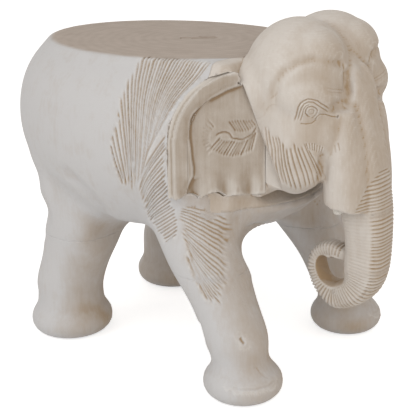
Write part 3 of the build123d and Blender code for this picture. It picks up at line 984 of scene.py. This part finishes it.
cheek_lines = [
    [(68, 342), (69, 322), (70, 305), (72.5, 292), (77, 280), (83, 270)],
    [(72, 350), (73, 336), (74.5, 322), (75.5, 305), (78.5, 290), (86, 272)],
    [(76, 357), (77.5, 340), (80, 325), (81, 307), (84, 288), (91, 272)],
    [(79.7, 355), (81.5, 341), (84.5, 326), (86, 307), (89.5, 289), (95, 272)],
    [(83, 354.6), (85.5, 341), (88.5, 327), (89.5, 308), (93, 290), (99, 271)],
    [(86.5, 355), (89, 342), (92, 331), (93, 314), (96.5, 295), (103, 271)],
    [(91, 346), (94, 338), (96, 321), (98.5, 303), (103, 285), (108, 270)],
    [(97.5, 339), (98.5, 325), (101, 309), (106, 290), (112, 270)],
    [(102, 339), (102.5, 326), (105, 312), (110, 294), (117, 271)],
    [(106, 340), (107, 328), (110.5, 314), (116, 296), (122.5, 272)],
    [(110, 340), (112, 328), (116.5, 314), (122.5, 297), (128.5, 273)],
    [(114, 340.5), (117, 328.5), (122.5, 314.5), (128.5, 299), (134.5, 275)],
    [(118, 341.5), (122, 329.5), (128, 315.5), (134.5, 300), (140, 278)],
    [(121.8, 342), (126.7, 330), (133, 316.5), (140, 301), (145, 281)],
    [(125.5, 335), (131.8, 323.7), (138.5, 311.4), (145, 297), (149.5, 283)],
]
under_eye = [(125.2, 338.5), (134.0, 338.0), (146.2, 331.5)]
under_eye_end = [(127.9, 329.5), (136.0, 326.5), (144.5, 322.5)]
cheek_strokes = fan(cheek_lines, 1, 1.7, 1.2)
cheek_strokes += hatch(under_eye, under_eye_end, 7, 1.3, 0.9)
cheek_strokes += [
    ([(164.6, 336.0), (167.2, 325.6)], 1.2, 0.6),
    ([(161.0, 333.0), (162.2, 322.6)], 1.1, 0.4),
]
face_strokes = eye_strokes + cheek_strokes
face_reach = widened(face_strokes, 5)
face_depth = 1.5


def carved_face(co, n):
    """Where the face is carved: each side of it, forwards of the ears."""
    t = radians(face_turn)
    inside = (co[:, 0] > 150) & (co[:, 2] > 255) & (np.abs(co[:, 1]) > 30)
    outward = np.abs(n[:, 1]) * np.sign(n[:, 1] * co[:, 1])
    inside &= n[:, 0] * sin(t) + outward * cos(t) > 0.3
    inside[inside] = gouged(drawn(co[inside], face_turn), face_reach) > 0
    return inside


# Rings round the trunk, cut across its front, and finer ones on its sides.
curve_points = 400
trunk_curve = bent(trunk_line, curve_points)[:, :2]
ring_pitch = 4.5
ring_depth = 1.5
ring_top = 298
top_bow = 0.022
trunk_reach = 46


def trunk_rings(co, n):
    """How deep the rings are cut at each point of the trunk."""
    away, along = nearest_on(trunk_curve[::4], co[:, [0, 2]])
    length = np.linalg.norm(np.diff(trunk_curve, axis=0), axis=1).sum()
    at = ways_along(trunk_curve)[(along * (curve_points - 1)).astype(int)]
    front = -at[:, 1] * n[:, 0] + at[:, 0] * n[:, 2]
    share = smooth_step(front, 0.3, 0.62)
    share += (0.28 + 0.5 * smooth_step(along, 0.55, 0.7)) * smooth_step(np.abs(n[:, 1]), 0.55, 0.9)
    share *= smooth_step(ring_top - top_bow * co[:, 1] ** 2 - co[:, 2], 0, 5) * (along < 0.985)
    share *= (away < trunk_reach) & (co[:, 0] > 180)
    phase = along * length / ring_pitch + 0.25 * np.sin(along * 61)
    deep = ring_depth + 0.8 * smooth_step(along, 0.5, 0.65)
    return deep * share * (0.5 + 0.5 * np.cos(2 * np.pi * phase)) ** 1.6


def ringed(co, n):
    """Where the trunk is refined for its rings."""
    trunk = (co[:, 0] > 181) & (np.abs(co[:, 1]) < trunk_reach)
    trunk &= co[:, 2] < ring_top + 4 - top_bow * co[:, 1] ** 2
    return trunk & ((co[:, 0] > 255) | (co[:, 2] < 235))


def curl_chiselling(co, n):
    """How deep the rough chisel marks in the floor of the curl are."""
    inward, away, facing = about_curl(co, n)
    marks = 0.9 + 0.9 * np.sin(co[:, 1] / 4 + 3 * np.arctan2(*inward.T))
    return smooth_step(facing, 0.4, 0.8) * (away < 30) * marks


refined(head_skin, carved_face, 2)
refined(head_skin, ringed, 1)
co, n = points_of(head_skin), normals_of(head_skin)
relax(head_skin, 6, (carved_face(co, n) | ringed(co, n)) * 1.0)
co, n = points_of(head_skin), normals_of(head_skin)
depth = trunk_rings(co, n) - curl_chiselling(co, n)
zone = carved_face(co, n)
depth[zone] = np.maximum(depth[zone], face_depth * gouged(drawn(co[zone], face_turn), face_strokes))
put_points(head_skin, co - depth[:, None] * n)
shade_smooth(head_skin)

# The blocks are sawn out of the two skins at their joints.
for part in legs:
    lo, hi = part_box(part)
    xs, ys = [(0, beyond) if a + b > 0 else (-beyond, 0) for a, b in ((lo.x, hi.x), (lo.y, hi.y))]
    leg = boxed(torso, (xs[0], ys[0], -beyond), (xs[1], ys[1], leg_joint))
    show(leg, "carved_" + part, part, body_finish)

head_low, head_high = (neck_joint, -beyond, chin_joint), (beyond, beyond, 2 * beyond)
body = boxed(torso, (-beyond, -beyond, leg_joint), head_high)
body = without_ears(combined(body, lone_block(head_low, head_high)), ear_overlap)
neck = without_ears(boxed(torso, head_low, head_high), ear_clearance)
head = combined(boxed(head_skin, head_low, head_high), forms_of(neck), "UNION")
for part in ears:
    head = combined(head, ear_face(part))
    board = one_skin(ear_board(part), "ear board", ear_skin_voxel)
    head = combined(head, forms_of(grown(board, ear_clearance)))
trunk = boxed(head_skin, (neck_joint, -beyond, -beyond), (beyond, beyond, chin_joint))
show(body, "carved_body", "body_block", body_finish)
show(head, "carved_head", "head_block", head_finish)
show(trunk, "carved_trunk", "trunk", trunk_finish)

# Ears: points (u, z) on the face of the ear, u along it from its outer edge.
ear_voxel = 1.3
field_depth = 4.8
ear_rim = [(6, 262), (9, 272), (14, 282), (19, 292), (19, 303), (17.3, 315), (16.6, 328), (15, 340),
           (15.4, 353), (17, 364), (20, 370), (23.5, 374), (30, 380), (36, 384), (43.5, 389), (50, 392),
           (56, 395), (62, 398), (71, 401), (81, 404), (95, 405), (112, 405)]
swirl_line = [(46, 340), (50, 344), (55, 346), (61, 346), (65, 344), (68.5, 338), (81, 335.5),
              (88.5, 339), (93.5, 342), (100, 353)]
swirl_top = [(54, 339), (61, 335), (68, 336), (77, 333), (88, 336), (98, 345)]
swirl_foot = [(41, 325), (49, 320), (58, 316), (67, 314), (79, 315), (92, 320)]
upper_top = [(64, 360), (74, 361), (84, 360), (92, 360)]
upper_foot = [(73, 346), (81, 344), (90, 346), (98, 352)]
outer_inside = [(46, 352), (42, 347), (40, 341), (41, 334), (44, 328)]
outer_edge = [(38, 363), (33, 354), (31, 341), (33, 330), (37, 320)]
ear_strokes = [(swirl_line, 1.6, 1.5)]
ear_strokes += hatch(swirl_top, swirl_foot, 16, 1.7, 1.9)
ear_strokes += hatch(upper_top, upper_foot, 9, 1.6, 1.5)
ear_strokes += hatch(outer_inside, outer_edge, 9, 1.5, 1.4)

# Folds of the ear's lower edge: how many have passed by each place along it, and how deep they are.
fold_places = [-4, 7, 20, 33, 45, 59, 75, 90, 104]
fold_counts = [-0.5, 0, 0.5, 0.8, 1, 1.5, 2, 2.5, 3]
fold_depth = 3.2


def ear_relief(u, z):
    """Height of the carved face of the ear over its own flat plane."""
    flat = np.column_stack([u, z])
    away, _ = nearest_on(ear_rim, flat)
    inside = within(flat, ear_rim + [(130, 405), (130, 200), (4, 200)])
    d = np.where(inside, away, -away)
    rim = -1.6 * smooth_step(d, -9, 0)
    field = -field_depth + 2.2 * smooth_step(d, 3, 34)
    face = rim + (field - rim) * smooth_step(d, -1.2, 1.8)
    folds = np.interp(u, fold_places, fold_counts)
    hem = smooth_step(305 - z, 0, 38)
    face += np.where(inside, fold_depth * np.cos(2 * np.pi * folds) * hem, 0)
    face = np.maximum(face, -field_depth - 5 * smooth_step(291 - z, 0, 12))
    return face - np.where(inside, gouged(flat, ear_strokes), 0)


for part in ears:
    ear = one_skin(ear_board(part), part, ear_voxel)
    corner, along_ear, outward = (np.array(axis) for axis in ear_axes(part))
    co, n = points_of(ear), normals_of(ear)
    u, height = (co - corner) @ along_ear, (co - corner) @ outward
    face = (n @ outward > 0.35) & (height > -4.5)
    carved = np.minimum(ear_relief(u, co[:, 2]), 0)
    co += np.where(face, carved - height, 0)[:, None] * outward
    put_points(ear, co)
    relax(ear, 2, face * 1.0)
    shade_smooth(ear)
    show(ear, "carved_" + part, part, ear_finish)

# Tusks, dowels and pegs: their CAD solids stay and take a finish.
for part in ("right_tusk", "left_tusk", "leg_dowels", "neck_dowels", "trunk_dowel", "ear_pegs"):
    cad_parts[part].data.materials.clear()
    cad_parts[part].data.materials.append(tusk_finish if "tusk" in part else dowel_finish)

# Camera, three quarters from the front right and a little above.
camera_turn = 38.27
camera_rise = 18.63
camera_away = 1.45157
camera_aim = Vector((0.007, 0, 0.18811))
camera_roll = -0.75
sensor = 36
focal_px = 1007.78
frame_px = 416
turn, rise, roll = radians(camera_turn), radians(camera_rise), radians(camera_roll)
back = Vector((sin(turn) * cos(rise), -cos(turn) * cos(rise), sin(rise)))
level = (-back).cross(Vector(up)).normalized()
top = level.cross(-back)
across = cos(roll) * level + sin(roll) * top
upward = -sin(roll) * level + cos(roll) * top
camera_data = bpy.data.cameras.new("camera")
camera_data.sensor_width = sensor
camera_data.lens = sensor * focal_px / frame_px
camera = bpy.data.objects.new("camera", camera_data)
scene = bpy.context.scene
scene.collection.objects.link(camera)
place = Matrix((across, upward, back)).transposed().to_4x4()
place.translation = camera_aim + back * camera_away
camera.matrix_world = place
scene.camera = camera
scene.view_settings.view_transform = "Standard"

# Pale floor and soft light.
floor_size = 12
room_light = 0.6
paper_lift = 0.6
white = (1, 1, 1, 1)
floor_mesh = bpy.data.meshes.new("floor")
bm = bmesh.new()
bmesh.ops.create_grid(bm, x_segments=1, y_segments=1, size=floor_size)
bm.to_mesh(floor_mesh)
bm.free()
floor = bpy.data.objects.new("floor", floor_mesh)
scene.collection.objects.link(floor)


def backdrop_seen(tree):
    """1 for a ray that sees the backdrop, straight or in gloss or glass, and 0 for the rest."""
    rays = add_node(tree, "LightPath")
    either = {0: (rays, "Is Camera Ray"), 1: (rays, "Is Glossy Ray")}
    seen = add_node(tree, "Math", either, operation="MAXIMUM")
    either = {0: (seen, 0), 1: (rays, "Is Transmission Ray")}
    return add_node(tree, "Math", either, operation="MAXIMUM")


# White paper sweep: matt, and seen a little brighter than it is lit, so that only the shadow shows on it.
paper = bpy.data.materials.new("white paper sweep")
paper.use_nodes = True
tree = paper.node_tree
tree.nodes.clear()
output = add_node(tree, "OutputMaterial")
lift = {0: (backdrop_seen(tree), 0), 1: paper_lift}
lift = add_node(tree, "Math", lift, operation="MULTIPLY")
matt = add_node(tree, "BsdfDiffuse", {"Color": linear("#F2F2F2")})
glow = add_node(tree, "Emission", {"Color": white, "Strength": (lift, 0)})
both = add_node(tree, "AddShader", {0: (matt, 0), 1: (glow, 0)})
feed(tree, output, {"Surface": (both, 0)})
floor_mesh.materials.append(paper)

# The room's own light is a little warm, as from wooden walls; the backdrop itself is white.
world = bpy.data.worlds.new("studio")
scene.world = world
world.use_nodes = True
tree = world.node_tree
seen = backdrop_seen(tree)
strength = add_node(tree, "MapRange", {"Value": (seen, 0), "To Min": room_light, "To Max": 1.0})
tint = {"Factor": (seen, 0), first: linear("#FFFBF7"), second: white}
tint = add_node(tree, "Mix", tint, data_type="RGBA")
feed(tree, tree.nodes["Background"], {"Color": (tint, mixed), "Strength": (strength, 0)})


def lamp(name, place, aim, size, power):
    """Adds a square softbox: its size in metres and its power in watts."""
    data = bpy.data.lights.new(name, "AREA")
    data.size = size
    data.energy = power
    light = bpy.data.objects.new(name, data)
    scene.collection.objects.link(light)
    light.location = place
    light.rotation_mode = "QUATERNION"
    light.rotation_quaternion = (Vector(aim) - Vector(place)).to_track_quat("-Z", "Y")


lamp("key softbox", (-0.8, -2.0, 1.9), (0, 0, 0.2), 1.8, 13.5)
lamp("front softbox", (1.75, -1.5, 1.4), (0, 0, 0.2), 2.0, 17.5)
